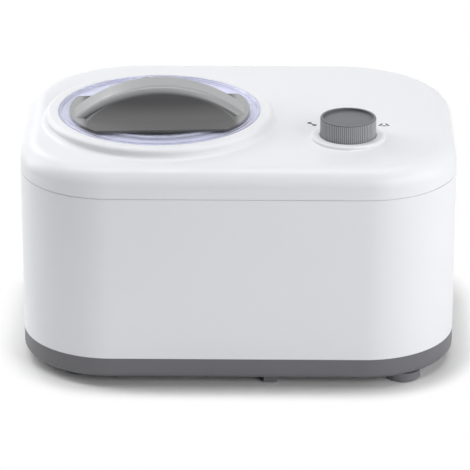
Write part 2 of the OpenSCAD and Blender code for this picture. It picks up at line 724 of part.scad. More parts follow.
// Room for the fingers outside a wall at y
module finger_hollow(y, way) translate([-grip_r - over, 0, z_plate]) {
    translate([0, y + way * cove_r, cove_r]) rotate([0, 90, 0])
        cylinder(r = cove_r, h = 2 * (grip_r + over));
    translate([0, min(y, y + way * grip_r), cove_r]) cube([2 * (grip_r + over), grip_r, grip_h]);
    translate([0, y + (way > 0 ? cove_r : -grip_r), 0])
        cube([2 * (grip_r + over), grip_r - cove_r, grip_h]);
}
module grip_plan(z0, z1) intersection() {
    disc(grip_r, z0, z1);
    translate([-grip_r, -grip_front, z0]) cube([2 * grip_r, grip_front + grip_rear, z1 - z0]);
}
module lid_grip() color("#9a9a9c") grip_frame() difference() {
    union() {
        grip_plan(z_lid, z_plate);
        intersection() {
            grip_plan(z_lid, z_lid + grip_h + over);
            difference() {
                arch(arch_r, -grip_front - over, grip_rear + over);
                for (side = [[-band_front, -1], [band_rear, 1]]) {
                    finger_hollow(side[0], side[1]);
                    band_edge(side[0], side[1]);
                }
            }
        }
    }
    difference() {
        intersection() {
            arch(arch_r - grip_wall, grip_wall - band_front, band_rear - grip_wall);
            disc(grip_r - grip_wall, z_lid - over, z_lid + grip_h);
        }
        spots(grip_screw_spots) disc(small_screw_r + 2, z_lid, z_lid + grip_h);
    }
    spots(grip_screw_spots) disc(small_screw_r + seat_gap, z_lid - over, z_lid + 8);
}
module grip_screws() color("silver") grip_frame() spots(grip_screw_spots)
    screw(small_screw_r, small_head_r, 1.6, z_lid_under - 1.6, z_lid + 7);

// Bowl: drawn sheet with a flat rim and a centre tube for the shaft
module cup_section(r, z_in, t, edge, z_top) difference() {
    union() {
        translate([0, z_in - t]) square([r + t - edge - t, z_top - z_in + t]);
        translate([0, z_in + edge]) square([r + t, z_top - z_in - edge]);
        translate([r - edge, z_in + edge]) circle(edge + t);
    }
    translate([-over - edge, z_in]) square([r - edge + over + edge, z_top - z_in + over]);
    translate([-over, z_in + edge]) square([r + over, z_top - z_in - edge + over]);
    translate([r - edge, z_in + edge]) circle(edge);
    translate([-r, z_in - t - over]) square([r, z_top - z_in + 3 * t]);
}
module bowl() color("#c9cbd0") bowl_axis() {
    difference() {
        union() {
            rotate_extrude() cup_section(bowl_r, z_bowl, bowl_t, bowl_edge_r, z_bowl_rim);
            disc(bowl_tube_out, z_bowl - bowl_t, z_bowl_tube);
            tube(bowl_r + bowl_t + bowl_rim_w, bowl_r, z_bowl_rim - bowl_t, z_bowl_rim);
        }
        disc(bowl_tube_in, z_bowl - bowl_t - over, z_bowl_tube + over);
    }
}

// Paddle: a sleeve over the bowl's tube, turned by the shaft's hexagon, with two scraping frames
hex_flat = shaft_r * 2 - 1;
hex_gap = 0.15;
paddle_r = bowl_r - paddle_gap;
z_paddle = z_bowl + paddle_gap;
z_hex = z_bowl_tube + 2;
z_shaft_top = z_hex + hex_h;
z_hub = z_shaft_top + 2.5;
paddle_t = 5;
rail_w = 7;
arm_h = 8;
z_paddle_top = z_hub - 6;
module hexagon(flat, z0, z1) translate([0, 0, z0]) cylinder(r = flat / 2 / cos(30), h = z1 - z0, $fn = 6);
module paddle() color("ivory") bowl_axis() difference() {
    union() {
        disc(hub_out, z_paddle, z_hub);
        disc(guide_in - 0.5, z_hub - over, z_lid_under - 2);
        for (side = [0, 180]) rotate(side) {
            translate([hub_out - over, -paddle_t / 2, z_paddle])
                cube([paddle_r - bowl_edge_r - hub_out + over, paddle_t, arm_h]);
            translate([hub_out - over, -paddle_t / 2, z_paddle_top - arm_h])
                cube([paddle_r - hub_out - 0.5, paddle_t, arm_h]);
            translate([paddle_r - rail_w, -paddle_t / 2, z_paddle + bowl_edge_r])
                cube([rail_w - 0.5, paddle_t, z_paddle_top - z_paddle - bowl_edge_r]);
            intersection() {
                translate([paddle_r - 0.5 - bowl_edge_r, paddle_t / 2, z_paddle + bowl_edge_r])
                    rotate([90, 0, 0]) cylinder(r = bowl_edge_r, h = paddle_t);
                translate([0, -paddle_t, z_paddle]) cube([paddle_r, 2 * paddle_t, bowl_edge_r]);
            }
            translate([(hub_out + paddle_r - rail_w) / 2 - 4, -paddle_t / 2, z_paddle + arm_h - over])
                cube([6, paddle_t, z_paddle_top - z_paddle - 2 * arm_h + 2 * over]);
        }
    }
    disc(hub_in, z_paddle - over, z_bowl_tube + 1);
    disc(shaft_r + part_gap, z_bowl_tube, z_hex + part_gap);
    hexagon(hex_flat + 2 * hex_gap, z_bowl_tube, z_shaft_top + part_gap);
}

// Well: the cooled pot in the housing, hung by its flange under the cover's ledge
module well() color("#b4b7bb") bowl_axis() difference() {
    union() {
        rotate_extrude() cup_section(well_r, z_well, well_t, bowl_edge_r + well_gap, z_flange);
        disc(well_tube_out, z_well - well_t, z_well_tube);
        tube(well_flange_r, well_r, z_flange - well_t, z_flange);
    }
    disc(well_tube_in, z_well - well_t - over, z_well_tube + over);
    for (a = [30:60:330]) rotate(a) translate([well_screw_r, 0, 0])
        disc(small_screw_r + 0.2, z_flange - well_t - over, z_flange + over);
}
module well_screws() color("silver") bowl_axis() for (a = [30:60:330])
    rotate(a) translate([well_screw_r, 0, 0])
    screw(small_screw_r, small_head_r, 1.6, z_flange - well_t - 1.6, z_flange + ledge_t - 1.4);

// Evaporator: a round tube wound clockwise on the well, its tails straight out of the foam
coil_n = coil_turns * coil_steps - coil_steps / 4;
function coil_point(i) = let(a = -i * 360 / coil_steps)
    [coil_r * cos(a), coil_r * sin(a), z_coil_low + (z_coil_high - z_coil_low) * i / coil_n];
coil_path = concat([[coil_r, coil_tail, z_coil_low]], [for (i = [0:coil_n]) coil_point(i)],
    [[coil_tail, coil_r, z_coil_high]]);
module evaporator_coil() color("#b87333") bowl_axis() pipe(coil_path, coil_tube_r);

module heater_band() color("#c2571a") bowl_axis() difference() {
    tube(well_r + well_t + 1.8, well_r + well_t + 0.1, z_well + bowl_edge_r, z_well + heater_h);
    translate([-4, -well_r - 10, z_well]) cube([8, 20, heater_h + over]);
}
module temperature_sensor() color("black") bowl_axis() difference() {
    translate([-3, -well_r - well_t - 5, z_well + bowl_edge_r - over])
        cube([6, 5, heater_h - bowl_edge_r + 2]);
    disc(well_r + well_t + 0.1, z_well, z_flange);
}
module insulation() color("#f0e6c8") bowl_axis() difference() {
    disc(foam_r, z_foam, z_flange - well_t);
    disc(foam_in_r, z_well - well_t, z_flange);
    disc(well_tube_out + 4, z_foam - over, z_well);
    for (z = [z_coil_low, z_coil_high]) {
        low = z == z_coil_low;
        translate([low ? coil_r - coil_tube_r - 1 : 0, low ? 0 : coil_r - coil_tube_r - 1,
            z - coil_tube_r - 1])
            cube([low ? 2 * coil_tube_r + 2 : foam_r, low ? foam_r : 2 * coil_tube_r + 2,
                2 * coil_tube_r + 2]);
    }
    for (a = [30:60:330]) rotate(a) translate([well_screw_r, 0, 0])
        disc(3.4, z_flange - well_t - 3, z_flange);
}

// Drive
z_shaft = z_gear_plate + 0.5;
bush_h = 8;
module drive_shaft() color("silver") bowl_axis() {
    disc(shaft_r, z_shaft, z_hex);
    hexagon(hex_flat, z_hex - over, z_shaft_top);
}
module shaft_bushes() color("#b08d57") bowl_axis() {
    tube(well_tube_in - seat_gap, shaft_r + run_gap, z_well - well_t, z_well - well_t + bush_h);
    tube(well_tube_in - seat_gap, shaft_r + run_gap, z_well_tube - bush_h, z_well_tube);
}
module shaft_seal() color("#222222") bowl_axis()
    tube(well_tube_out - 0.3, shaft_r + run_gap, z_well_tube, z_well_tube + 4);
module output_gear() color("#e8e4d8") bowl_axis() difference() {
    union() {
        translate([0, 0, z_output_gear]) gear(output_module, output_teeth, output_gear_w, idler_turn);
        disc(shaft_r + 5, z_gear_floor + 1, z_gearbox_in - 1);
    }
    disc(shaft_r + seat_gap, z_gear_plate, z_gearbox + over);
    for (a = [0:60:300]) rotate(a + 30) translate([output_pitch_r * 0.6, 0, 0])
        disc(output_pitch_r * 0.16, z_output_gear - over, z_gearbox);
}
module idler_axis() bowl_axis() translate([idler_at[0], idler_at[1], 0]) children();
module motor_axis() bowl_axis() translate([motor_at[0], motor_at[1], 0]) children();
module idler_gear() color("#e8e4d8") idler_axis() difference() {
    union() {
        translate([0, 0, z_motor_gear]) gear(motor_module, idler_large_teeth, motor_gear_w, motor_turn);
        translate([0, 0, z_motor_gear + motor_gear_w - over])
            gear(output_module, idler_small_teeth, z_gearbox_in - 1 - z_motor_gear - motor_gear_w + over,
                idler_turn + 180 + 180 / idler_small_teeth);
    }
    disc(idler_pin_r + run_gap, z_gear_plate, z_gearbox);
}
module idler_pin() color("silver") idler_axis() disc(idler_pin_r, z_gear_plate, z_gearbox);
module motor_pinion() color("#e8e4d8") motor_axis() difference() {
    translate([0, 0, z_motor_gear])
        gear(motor_module, pinion_teeth, motor_gear_w, motor_turn + 180 + 180 / pinion_teeth);
    disc(motor_shaft_r + seat_gap, z_gear_plate, z_gearbox);
}
rotor_r = motor_r - 7;
module motor_rotor() color("#8a8d91") motor_axis() {
    disc(motor_shaft_r, z_motor + 1, z_gearbox_in - 1.5);
    disc(rotor_r, z_motor + motor_wall + 2, z_gear_plate - motor_wall - 2);
}
module motor_can() color("#3c3f44") motor_axis() difference() {
    disc(motor_r, z_motor, z_gear_plate);
    disc(rotor_r + 1, z_motor + motor_wall, z_gear_plate - motor_wall);
    disc(motor_shaft_r + run_gap, z_motor + 0.6, z_gear_plate + over);
    for (a = [45:90:315]) rotate(a) translate([motor_r - motor_screw_in, 0, 0])
        disc(small_screw_r + seat_gap, z_gear_plate - 8, z_gear_plate + over);
}
module motor_screws() color("silver") motor_axis() for (a = [45, 225])
    rotate(a) translate([motor_r - motor_screw_in, 0, 0])
    rotate([180, 0, 0]) screw(small_screw_r, small_head_r, 1, -z_gear_floor - 1, 7 - z_gear_plate);

// Gearbox: round rooms over each gear, joined, on four legs
module gear_rooms(grow, z0, z1) {
    disc(output_room_r + grow, z0, z1);
    translate([idler_at[0], idler_at[1], 0]) disc(idler_room_r + grow, z0, z1);
    translate([motor_at[0], motor_at[1], 0]) disc(pinion_room_r + 3 + grow, z0, z1);
}
module gearbox_base() color("#4a4d52") bowl_axis() difference() {
    union() {
        gear_rooms(gearbox_t, z_gear_plate, z_gearbox_in);
        translate([motor_at[0], motor_at[1], 0]) disc(motor_r, z_gear_plate, z_gear_floor);
        for (i = [0:3]) {
            translate([leg_spots[i][0], leg_spots[i][1], 0]) disc(leg_r, z_tray + boss_h, z_gearbox_in);
            rotate(leg_turns[i]) translate([output_room_r + 1, -2, z_gear_plate])
                cube([leg_reach - output_room_r - 1, 4, z_gearbox_in - z_gear_plate]);
        }
    }
    gear_rooms(0, z_gear_floor, z_gearbox);
    disc(shaft_r + run_gap, z_gear_plate + 0.3, z_gearbox);
    translate([idler_at[0], idler_at[1], 0]) disc(idler_pin_r + seat_gap, z_gear_plate - over, z_gearbox);
    translate([motor_at[0], motor_at[1], 0]) {
        disc(motor_shaft_r + 1, z_gear_plate - over, z_gearbox);
        for (a = [45, 225]) rotate(a) translate([motor_r - motor_screw_in, 0, 0])
            disc(small_screw_r + 0.2, z_gear_plate - over, z_gearbox);
    }
    spots(leg_spots) {
        disc(screw_r + seat_gap, z_tray, z_tray + boss_h + leg_screw_depth);
        disc(small_screw_r + seat_gap, z_gearbox_in - 10, z_gearbox);
    }
}
module gearbox_cover() color("#4a4d52") bowl_axis() difference() {
    union() {
        gear_rooms(gearbox_t, z_gearbox_in, z_gearbox);
        spots(leg_spots) disc(leg_r, z_gearbox_in, z_gearbox);
        for (i = [0:3]) rotate(leg_turns[i]) translate([output_room_r + 1, -2, z_gearbox_in])
            cube([leg_reach - output_room_r - 1, 4, gearbox_t]);
    }
    disc(shaft_r + run_gap, z_gearbox_in - over, z_gearbox + over);
    translate([idler_at[0], idler_at[1], 0])
        disc(idler_pin_r + seat_gap, z_gearbox_in - over, z_gearbox + over);
    spots(leg_spots) disc(small_screw_r + 0.2, z_gearbox_in - over, z_gearbox + over);
}
module gearbox_screws() color("silver") bowl_axis() spots(leg_spots) {
    screw(screw_r, screw_head_r, screw_head_h, z_tray + head_sink - screw_head_h,
        z_tray + boss_h + leg_screw_depth - 1);
    translate([0, 0, z_gearbox]) rotate([180, 0, 0])
        screw(small_screw_r, small_head_r, 1.4, -1.4, gearbox_t + 8);
}

// Compressor: a welded can on a sprung plate
can_round = 20;
module compressor_axis() translate([comp_x, comp_y, 0]) children();
module compressor() color("#1d1e20") {
    compressor_axis() {
        rotate_extrude() difference() {
            slab_section(comp_r, z_comp, z_comp_top, can_round, can_round / 2);
            translate([-over, z_comp - over]) square([over, comp_h + 2 * over]);
        }
        disc(comp_r + 2.5, z_comp + comp_h * 0.5 - 1.5, z_comp + comp_h * 0.5 + 1.5);
    }
    port(comp_x - port_spread, z_suction_port);
    port(comp_x + port_spread, z_discharge_port);
}
module port(x, z) translate([x, comp_y, z]) rotate([-90, 0, 0]) cylinder(r = line_r, h = port_y - comp_y);
module compressor_plate() color("#2b2c2e") compressor_axis() difference() {
    union() {
        disc(comp_r - can_round / 2, z_comp_plate, z_comp);
        translate([-comp_bolt_x - 10, -comp_bolt_y - 10, z_comp_plate])
            cube([2 * comp_bolt_x + 20, 2 * comp_bolt_y + 20, comp_plate_t]);
    }
    spots(comp_bolts) disc(screw_r + 1.5, z_comp_plate - over, z_comp + over);
}
module compressor_grommets() color("#17181a") compressor_axis() spots(comp_bolts) difference() {
    union() {
        disc(grommet_r, z_floor, z_comp_plate);
        disc(screw_r + 1.4, z_comp_plate - over, z_comp + 0.6);
    }
    disc(screw_r + 0.2, z_floor - over, z_comp + over);
}
module compressor_bolts() color("silver") compressor_axis() spots(comp_bolts) {
    disc(screw_head_r, z_tray - 2, z_tray);
    disc(screw_r, z_tray - over, z_comp + 3.6);
    disc(screw_r + 3, z_comp + 0.6, z_comp + 3.4);
}
relay_w = 40;
relay_h = 44;
relay_d = 20;
module relay_cover() color("#262729") compressor_axis() rotate(90) difference() {
    translate([-comp_r - relay_d, -relay_w / 2, z_comp + 2 + comp_h / 2])
        cube([relay_d + 8, relay_w, relay_h - 10]);
    disc(comp_r + 0.1, z_comp, z_comp_top + over);
}

// Condenser: finned tubes between two end plates that stand on the tray
condenser_tubes = [for (i = [0:condenser_rows - 1], j = [-1, 1])
    [condenser_y + j * condenser_d / 4, z_condenser_low + i * condenser_row_pitch]];
module condenser_slice(x, t, z0) translate([x, condenser_y - condenser_d / 2, z0])
    cube([t, condenser_d, condenser_top - z0]);
module condenser() color("#c4c6c8") {
    condenser_slice(condenser_left, condenser_plate_t, z_floor);
    condenser_slice(condenser_right - condenser_plate_t, condenser_plate_t, z_floor);
    fin_pitch = (fan_w - condenser_plate_t) / (condenser_fins + 1);
    for (i = [1:condenser_fins]) condenser_slice(condenser_left + i * fin_pitch, 0.6, z_floor + 8);
    for (t = condenser_tubes) translate([condenser_left - 3, t[0], t[1]]) rotate([0, 90, 0])
        cylinder(r = condenser_tube_r, h = fan_w + 6);
    for (z = [z_condenser_low, z_condenser_high])
        translate([condenser_right, condenser_y - condenser_d / 4, z])
        rotate([0, 90, 0]) cylinder(r = line_r, h = condenser_port);
}

// Fan
module fan_axis() translate([fan_x, 0, fan_z]) rotate([-90, 0, 0]) children();
fan_web_t = 3;
module fan_frame() color("#202124") fan_axis() difference() {
    union() {
        difference() {
            translate([-fan_w / 2, -fan_w / 2, fan_front_y]) cube([fan_w, fan_w, fan_d]);
            disc(fan_bore_r, fan_front_y - over, fan_back_y + over);
        }
        disc(fan_stator_r, fan_back_y - fan_web_t, fan_back_y);
        for (a = [0:90:270]) rotate(a + 20) translate([0, -2, fan_back_y - fan_web_t])
            cube([fan_bore_r + 1, 4, fan_web_t]);
    }
    disc(fan_pin_r + run_gap, fan_front_y, fan_back_y - 0.8);
    for (x = [-1, 1], y = [-1, 1]) translate([x * fan_hole, y * fan_hole, 0])
        disc(small_screw_r + 0.3, fan_front_y - over, fan_back_y + over);
}
module fan_stator() color("#8c4a1c") fan_axis()
    tube(fan_stator_r - 2, fan_pin_r + 1, fan_front_y + 7, fan_back_y - fan_web_t);
module fan_rotor() color("#2c2d30") fan_axis() {
    difference() {
        disc(fan_hub_r, fan_front_y + 2, fan_back_y - fan_web_t - 1);
        disc(fan_stator_r, fan_front_y + 5, fan_back_y);
    }
    disc(fan_pin_r, fan_front_y + 4, fan_back_y - 1.2);
    for (i = [0:fan_blades - 1]) rotate(i * 360 / fan_blades) intersection() {
        tube(fan_blade_r, fan_hub_r - over, fan_front_y + 2, fan_back_y - fan_web_t - 1);
        translate([0, 0, fan_front_y + fan_d / 2 - 1]) rotate([38, 0, 0])
            translate([0, -fan_d, -0.8]) cube([fan_w, 2 * fan_d, 1.6]);
    }
}
module fan_screws() color("silver") for (x = [-1, 1], z = [-1, 1])
    translate([fan_x + x * fan_hole, 0, fan_z + z * fan_hole]) rotate([-90, 0, 0])
        screw(small_screw_r, small_head_r, 0.45, fan_front_y - 0.45, fan_back_y + fan_post - 1);

// Refrigerant lines
module filter_drier() color("#b87333") translate([drier_x, drier_y, 0]) {
    disc(drier_r, drier_low + 6, drier_high - 6);
    disc(line_r + 1.5, drier_low, drier_low + 8);
    disc(capillary_r + 1.5, drier_high - 8, drier_high);
}
condenser_port_x = condenser_right + condenser_port;
condenser_port_y = condenser_y - condenser_d / 4;
module discharge_line() color("#b87333") pipe(rounded([
    [comp_x + port_spread, port_y, z_discharge_port],
    [comp_x + port_spread, port_y + 24, z_discharge_port],
    [comp_x + port_spread, condenser_port_y - 16, z_condenser_high],
    [comp_x + port_spread, condenser_port_y, z_condenser_high],
    [condenser_port_x, condenser_port_y, z_condenser_high]], 9), line_r);
module liquid_line() color("#b87333") pipe(rounded([
    [condenser_port_x, condenser_port_y, z_condenser_low],
    [condenser_port_x + 14, condenser_port_y, z_condenser_low],
    [condenser_port_x + 14, drier_y, z_condenser_low + 4],
    [drier_x, drier_y, z_condenser_low + 4],
    [drier_x, drier_y, drier_low]], 9), line_r);
coil_in = [bowl_x + coil_r, bowl_y + coil_tail, z_coil_low];
coil_out = [bowl_x + coil_tail, bowl_y + coil_r, z_coil_high];
module capillary_tube() color("#b87333") pipe(rounded([
    [drier_x, drier_y, drier_high],
    [drier_x, drier_y, drier_high + 8],
    [drier_x - 16, drier_y, drier_high + 8],
    [drier_x - 16, coil_in[1] + 9, z_coil_low],
    [coil_in[0], coil_in[1] + 9, z_coil_low],
    coil_in], 4), capillary_r);
module suction_line() color("#b87333") pipe(rounded([
    coil_out,
    coil_out + [18, 0, 0],
    [coil_out[0] + 18, coil_out[1], drier_high + 16],
    [comp_x - port_spread, coil_out[1], drier_high + 16],
    [comp_x - port_spread, coil_out[1], z_suction_port],
    [comp_x - port_spread, port_y, z_suction_port]], 9), line_r);

// Knob and rotary switch
module knob_axis() translate([knob_x, -knob_y, 0]) children();
flute_points = [for (i = [0:knob_flutes - 1], k = [0:3])
    polar(knob_r - (k == 1 || k == 2 ? 0 : flute_depth),
        (i + [0.05, 0.2, 0.7, 0.85][k]) * 360 / knob_flutes)];
module selector_knob() color("#8c8c90") knob_axis() difference() {
    union() {
        translate([0, 0, z_knob]) linear_extrude(z_knob_top - z_knob - 0.8) polygon(flute_points);
        disc(knob_r - flute_depth, z_knob, z_knob_top);
    }
    difference() {
        disc(knob_r - knob_wall, z_knob - over, z_knob_top - cap_sink - cap_t - 2);
        disc(knob_hub_r, z_bush + 1, z_knob_top);
    }
    disc(knob_r - knob_wall + 1, z_knob_top - cap_sink - cap_t, z_knob_top + over);
    disc(spindle_r + seat_gap, z_knob, z_knob_top - cap_sink - cap_t - 1);
    // pointer groove in the rear of the skirt
    translate([-0.6, knob_r - 1.2, z_knob_top - 5]) cube([1.2, 3, 6]);
}
module knob_cap() color("#808184") knob_axis()
    disc(knob_r - knob_wall + 1 - seat_gap, z_knob_top - cap_sink - cap_t, z_knob_top - cap_sink);
module switch_spindle() color("silver") knob_axis() {
    disc(spindle_r, z_under_deck - switch_h + 3, z_knob_top - cap_sink - cap_t - 1.2);
    disc(spindle_r + 4, z_under_deck - switch_h + 3, z_under_deck - switch_h + 6);
}
module rotary_switch() color("#2a3038") knob_axis() difference() {
    union() {
        translate([-switch_w / 2, -switch_w / 2, z_under_deck - switch_h])
            cube([switch_w, switch_w, switch_h]);
        disc(bush_r, z_under_deck - over, z_bush);
        for (x = [-1:1]) translate([x * 8 - 2.4, 6, z_under_deck - switch_h - 7]) cube([4.8, 0.8, 8]);
    }
    disc(spindle_r + run_gap, z_under_deck - switch_h + 1.5, z_bush + over);
    disc(spindle_r + 5, z_under_deck - switch_h + 2, z_under_deck - switch_h + 7);
}
module switch_nut() color("silver") knob_axis() difference() {
    hexagon(2 * bush_r + 4, z_deck, z_deck + nut_h);
    disc(bush_r + seat_gap, z_deck - over, z_deck + nut_h + over);
}

// Control board
module control_board() color("darkgreen") difference() {
    translate([board_x - board_w / 2, board_y - board_l / 2, z_board]) cube([board_w, board_l, board_t]);
    spots(board_holes) disc(small_screw_r + 0.2, z_board - over, z_board + board_t + over);
}
module board_parts() color("#1c2a4a") translate([board_x, board_y, z_board]) {
    translate([-34, -14, -20]) cube([22, 26, 20]);
    translate([-6, -22, -15]) cube([19, 15, 15]);
    translate([-6, 2, -15]) cube([19, 15, 15]);
    translate([24, -12, 0]) rotate([180, 0, 0]) cylinder(r = 6, h = 16);
    translate([22, 10, 0]) rotate([180, 0, 0]) cylinder(r = 6, h = 9.5);
    translate([-12, -28.5, -8]) cube([24, 5, 8]);
}
module board_screws() color("silver") spots(board_holes)
    screw(small_screw_r, small_head_r, 1.6, z_board - 1.6, z_board + board_t + 8);

// Gland for the mains lead, flush with the rear wall
module cord_gland() color("#1b1c1e") translate([gland_x, 0, gland_z]) rotate([-90, 0, 0]) difference() {
    union() {
        disc(gland_flange_r, side_y - gland_sink, side_y - 0.1);
        disc(gland_neck_r - seat_gap, side_y - shell_t - gland_boss_t - 6, side_y - gland_sink);
        disc(gland_neck_r + 1.2, side_y - shell_t - gland_boss_t - 4, side_y - shell_t - gland_boss_t);
    }
    disc(gland_bore_r, side_y - shell_t - gland_boss_t - 7, side_y + over);
}

base_tray();
body_shell();
top_cover();
rubber_feet();
foot_screws();
tie_screws();
clear_lid();
lid_seal();
lid_grip();
grip_screws();
bowl();
paddle();
well();
well_screws();
evaporator_coil();
heater_band();
temperature_sensor();
insulation();
drive_shaft();
shaft_bushes();
shaft_seal();
output_gear();
idler_gear();
idler_pin();
motor_rotor();
motor_pinion();
motor_can();
motor_screws();
gearbox_base();
gearbox_cover();
gearbox_screws();
compressor();
compressor_plate();
compressor_grommets();
compressor_bolts();
relay_cover();
condenser();
fan_frame();
fan_stator();
fan_rotor();
fan_screws();
filter_drier();
discharge_line();
liquid_line();
capillary_tube();
suction_line();
selector_knob();
knob_cap();
switch_spindle();
rotary_switch();
switch_nut();
control_board();
board_parts();
board_screws();
cord_gland();
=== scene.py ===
import json
from math import pi, radians

import bmesh
import bpy
from mathutils import Matrix, Vector

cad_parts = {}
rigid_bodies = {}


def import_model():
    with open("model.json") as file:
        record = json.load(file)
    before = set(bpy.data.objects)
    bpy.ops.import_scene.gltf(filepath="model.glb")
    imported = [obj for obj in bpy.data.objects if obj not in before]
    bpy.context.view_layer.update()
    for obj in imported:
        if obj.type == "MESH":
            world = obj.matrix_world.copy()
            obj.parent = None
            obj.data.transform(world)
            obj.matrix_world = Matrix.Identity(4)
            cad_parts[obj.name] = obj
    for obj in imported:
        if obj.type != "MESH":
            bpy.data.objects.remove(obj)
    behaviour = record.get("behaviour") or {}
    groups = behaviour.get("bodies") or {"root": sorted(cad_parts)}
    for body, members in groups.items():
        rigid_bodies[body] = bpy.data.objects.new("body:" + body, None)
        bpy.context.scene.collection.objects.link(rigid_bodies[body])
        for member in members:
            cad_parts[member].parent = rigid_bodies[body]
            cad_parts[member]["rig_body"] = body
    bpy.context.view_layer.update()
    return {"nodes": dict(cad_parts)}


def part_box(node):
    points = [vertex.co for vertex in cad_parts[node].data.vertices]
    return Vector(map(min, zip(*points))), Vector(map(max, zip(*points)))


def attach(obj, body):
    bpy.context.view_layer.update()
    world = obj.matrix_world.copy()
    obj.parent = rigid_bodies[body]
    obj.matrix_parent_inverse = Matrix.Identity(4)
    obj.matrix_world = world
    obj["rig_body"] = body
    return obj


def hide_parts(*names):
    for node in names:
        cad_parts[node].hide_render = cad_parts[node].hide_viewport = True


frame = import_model()
nodes = frame["nodes"]
MM = 0.001

# Base tray: one deep grey ABS moulding with a rolled lower edge. The tool is lightly spark-eroded,
# so it is duller than the sleeve. Four long screws come up through it and tie the housing.


def linear(hex_colour):
    """The linear colour of an sRGB hex value, with alpha 1."""
    parts = [int(hex_colour[i:i + 2], 16) / 255 for i in (0, 2, 4)]
    return [c / 12.92 if c <= 0.04045 else ((c + 0.055) / 1.055) ** 2.4 for c in parts] + [1]


def add_node(tree, kind, settings=None, inputs=None):
    """Adds a node. An input takes a value, or (node, output name) for a link."""
    node = tree.nodes.new(kind)
    for key, value in (settings or {}).items():
        setattr(node, key, value)
    for key, value in (inputs or {}).items():
        if isinstance(value, tuple) and hasattr(value[0], "outputs"):
            tree.links.new(value[0].outputs[value[1]], node.inputs[key])
        else:
            node.inputs[key].default_value = value
    return node


def finish_of(name):
    """A new material, its tree, the node for the piece's own coordinates in metres, and the output."""
    material = bpy.data.materials.new(name)
    material.use_nodes = True
    tree = material.node_tree
    tree.nodes.clear()
    place, output = add_node(tree, "ShaderNodeTexCoord"), add_node(tree, "ShaderNodeOutputMaterial")
    return material, tree, place, output


DRIFT = 30 * MM          # the size of the soft patches in which a moulded surface changes its sheen
BUMP_STRENGTH = 0.5


def moulded(name, colour, roughness, grain, depth, metallic=0.0, spread=0.05, coat=0.0):
    """Moulded or rolled surface: grain and its depth in mm, and a roughness that drifts by its spread."""
    material, tree, place, output = finish_of(name)
    fine = add_node(tree, "ShaderNodeTexNoise", None,
                    {"Vector": (place, "Object"), "Scale": 1 / (grain * MM), "Detail": 2.0})
    drift = add_node(tree, "ShaderNodeTexNoise", None,
                     {"Vector": (place, "Object"), "Scale": 1 / DRIFT, "Detail": 2.0})
    rough = add_node(tree, "ShaderNodeMapRange", None,
                     {"Value": (drift, "Fac"), "From Min": 0.3, "From Max": 0.7,
                      "To Min": roughness - spread, "To Max": roughness + spread})
    bump = add_node(tree, "ShaderNodeBump", None,
                    {"Height": (fine, "Fac"), "Distance": depth * MM, "Strength": BUMP_STRENGTH})
    shader = add_node(tree, "ShaderNodeBsdfPrincipled", None,
                      {"Base Color": linear(colour), "Metallic": metallic, "Roughness": (rough, "Result"),
                       "Normal": (bump, "Normal"), "Coat Weight": coat})
    tree.links.new(shader.outputs["BSDF"], output.inputs["Surface"])
    return material


def dress(material, *names):
    """Gives CAD nodes their finish."""
    for name in names:
        nodes[name].data.materials.clear()
        nodes[name].data.materials.append(material)


MERGE = 0.002 * MM       # corners closer than this are one corner


def smoothed(node, piece, material, slot, angle=32):
    """A merged copy that stands in for a CAD node. Edges below the angle, in degrees, shade softly."""
    bm = bmesh.new()
    bm.from_mesh(nodes[node].data)
    bmesh.ops.remove_doubles(bm, verts=bm.verts, dist=MERGE)
    for face in bm.faces:
        face.smooth = True
        face.material_index = 0
    for edge in bm.edges:
        edge.smooth = edge.calc_face_angle(pi) < radians(angle)
    finished(bm, piece, material, nodes[node]["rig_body"], slot, node)


def finished(bm, piece, material, body, slot, *stands_for):
    """Turns a bmesh into a piece that rides on a body, in place of the CAD nodes that it stands for."""
    mesh = bpy.data.meshes.new(piece)
    bm.to_mesh(mesh)
    bm.free()
    mesh.materials.append(material)
    obj = bpy.data.objects.new(piece, mesh)
    bpy.context.scene.collection.objects.link(obj)
    even = obj.modifiers.new("even_shading", "WEIGHTED_NORMAL")
    even.keep_sharp = True
    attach(obj, body)
    if stands_for:
        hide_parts(*stands_for)


grey_abs = moulded("grey_abs_spark_textured", "66666A", 0.46, 0.9, 0.03)
smoothed("base_tray", "tray", grey_abs, "grey_abs")

# Feet and their screws: four rubber pads in the tray's grey, matt, each held from below by one
# steel screw. Seals and grommets further in are plain black rubber.
grey_rubber = moulded("rubber_grey_moulded", "6C6C70", 0.72, 1.1, 0.05)
black_rubber = moulded("nitrile_rubber_moulded", "1C1C1E", 0.75, 1.1, 0.05)
smoothed("rubber_feet", "feet", grey_rubber, "black_rubber")
zinc_steel = moulded("steel_zinc_plated", "B9BCC0", 0.34, 0.5, 0.01, metallic=1.0)
dress(zinc_steel, "foot_screws", "tie_screws")

# Sleeve: a straight white ABS wall, satin, whose sheen varies a little from patch to patch.
# It carries the screw towers, the vents and the fan's posts.
white_abs = moulded("white_abs_satin", "E2E3E6", 0.36, 1.4, 0.012, spread=0.03)
smoothed("body_shell", "sleeve", white_abs, "white_abs")

# Top cover: the sleeve's white ABS, a shade duller and with a shallower grain. It has the rounded
# edge, the groove of the parting line, the collar that the lid sits in and the low ring round the knob.
deck_abs = moulded("white_abs_deck", "E2E3E6", 0.40, 1.4, 0.010, spread=0.04)
smoothed("top_cover", "deck", deck_abs, "white_abs")

# Well: deep-drawn aluminium pot, clear anodised, with a soft satin from the drawing.
anodised = moulded("aluminium_anodised", "C3C6CA", 0.36, 0.5, 0.006, metallic=1.0)
smoothed("well", "cold_well", anodised, "anodised_aluminium")
dress(zinc_steel, "well_screws")

